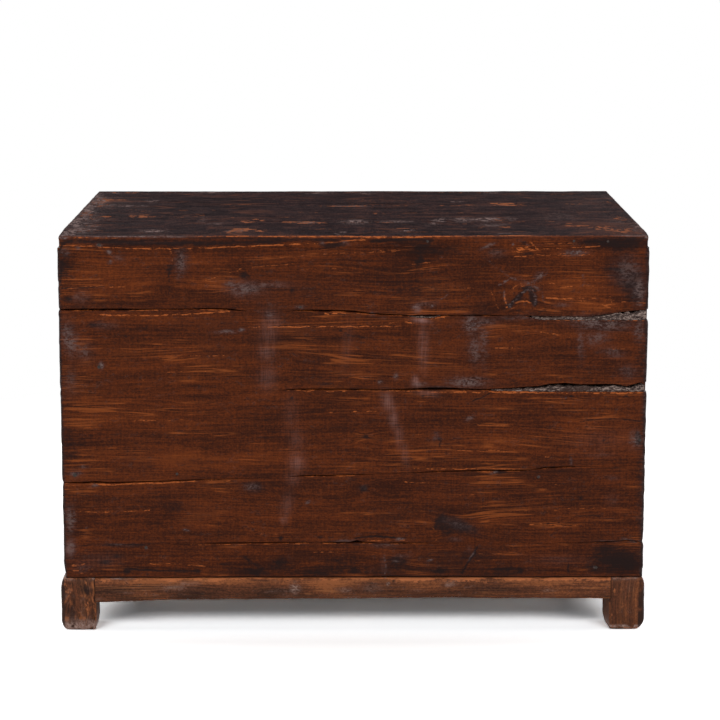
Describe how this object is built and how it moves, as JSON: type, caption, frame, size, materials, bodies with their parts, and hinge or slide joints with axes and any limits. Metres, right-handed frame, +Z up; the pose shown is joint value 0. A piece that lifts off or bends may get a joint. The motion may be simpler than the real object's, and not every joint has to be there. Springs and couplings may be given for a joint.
{
  "type": "kang cabinet",
  "caption": "Low lacquered plank cabinet on a separate footed base, with framed doors on wooden pivots between fixed panels, ring pulls and an inner shelf.",
  "frame": {"origin": "middle of the bounding box at floor level, under the feet", "axes": "+Z up, +X along the length. The nailed plank back, which is the side that the picture shows, faces -Y, and the doors face +Y. Names say left and right as one faces the doors, so left is towards +X"},
  "size_m": [0.89, 0.637, 0.604],
  "materials": {
    "back_lacquer": "worn red-brown lacquer over softwood",
    "top_lacquer": "blackened, worn lacquer",
    "side_lacquer": "worn red-brown lacquer over softwood",
    "front_lacquer": "polished red-brown lacquer",
    "panel_lacquer": "polished dark red lacquer",
    "base_lacquer": "worn orange-brown lacquer",
    "bare_wood": "bare, aged softwood",
    "wrought_iron": "blackened forged iron"
  },
  "bodies": {
    "cabinet": {"foot_front_left": "base_lacquer", "foot_front_right": "base_lacquer", "foot_back_left": "base_lacquer", "foot_back_right": "base_lacquer", "apron_front": "base_lacquer", "apron_right": "base_lacquer", "apron_back": "base_lacquer", "apron_left": "base_lacquer", "base_bearer": "bare_wood", "back_board_1": "back_lacquer", "back_board_2": "back_lacquer", "back_board_3": "back_lacquer", "back_board_4": "back_lacquer", "back_board_5": "back_lacquer", "side_board_left_1": "side_lacquer", "side_board_left_2": "side_lacquer", "side_board_left_3": "side_lacquer", "side_board_right_1": "side_lacquer", "side_board_right_2": "side_lacquer", "side_board_right_3": "side_lacquer", "top_board_front": "top_lacquer", "top_board_middle": "top_lacquer", "top_board_back": "top_lacquer", "top_batten_left": "bare_wood", "top_batten_right": "bare_wood", "front_stile_left": "front_lacquer", "front_stile_right": "front_lacquer", "front_muntin_left": "front_lacquer", "front_muntin_right": "front_lacquer", "front_panel_left": "panel_lacquer", "front_panel_right": "panel_lacquer", "front_rail_top": "front_lacquer", "front_rail_bottom": "front_lacquer", "door_stop_bottom": "bare_wood", "door_stop_top": "bare_wood", "floor_board_front": "bare_wood", "floor_board_back": "bare_wood", "shelf_board_front": "bare_wood", "shelf_board_back": "bare_wood", "shelf_cleat_left": "bare_wood", "shelf_cleat_right": "bare_wood"},
    "door_left": {"door_left_hinge_stile": "front_lacquer", "door_left_meeting_stile": "front_lacquer", "door_left_bottom_rail": "front_lacquer", "door_left_top_rail": "front_lacquer", "door_left_panel": "panel_lacquer", "pull_eye_left": "wrought_iron", "pull_plate_left": "wrought_iron"},
    "door_right": {"door_right_hinge_stile": "front_lacquer", "door_right_meeting_stile": "front_lacquer", "door_right_bottom_rail": "front_lacquer", "door_right_top_rail": "front_lacquer", "door_right_panel": "panel_lacquer", "pull_eye_right": "wrought_iron", "pull_plate_right": "wrought_iron"},
    "ring_left": {"pull_ring_left": "wrought_iron"},
    "ring_right": {"pull_ring_right": "wrought_iron"}
  },
  "joints": [
    {"name": "door_left_pivot", "type": "hinge", "parent": "cabinet", "child": "door_left", "pos_m": [0.2078, 0.29145, 0.3335], "axis": [0, 0, -1], "range_deg": [0, 95]},
    {"name": "door_right_pivot", "type": "hinge", "parent": "cabinet", "child": "door_right", "pos_m": [-0.2078, 0.29145, 0.3335], "axis": [0, 0, 1], "range_deg": [0, 95]},
    {"name": "ring_left_swing", "type": "hinge", "parent": "door_left", "child": "ring_left", "pos_m": [0.024, 0.31095, 0.33963], "axis": [1, 0, 0], "range_deg": [-8, 170]},
    {"name": "ring_right_swing", "type": "hinge", "parent": "door_right", "child": "ring_right", "pos_m": [-0.024, 0.31095, 0.33963], "axis": [1, 0, 0], "range_deg": [-8, 170]}
  ]
}
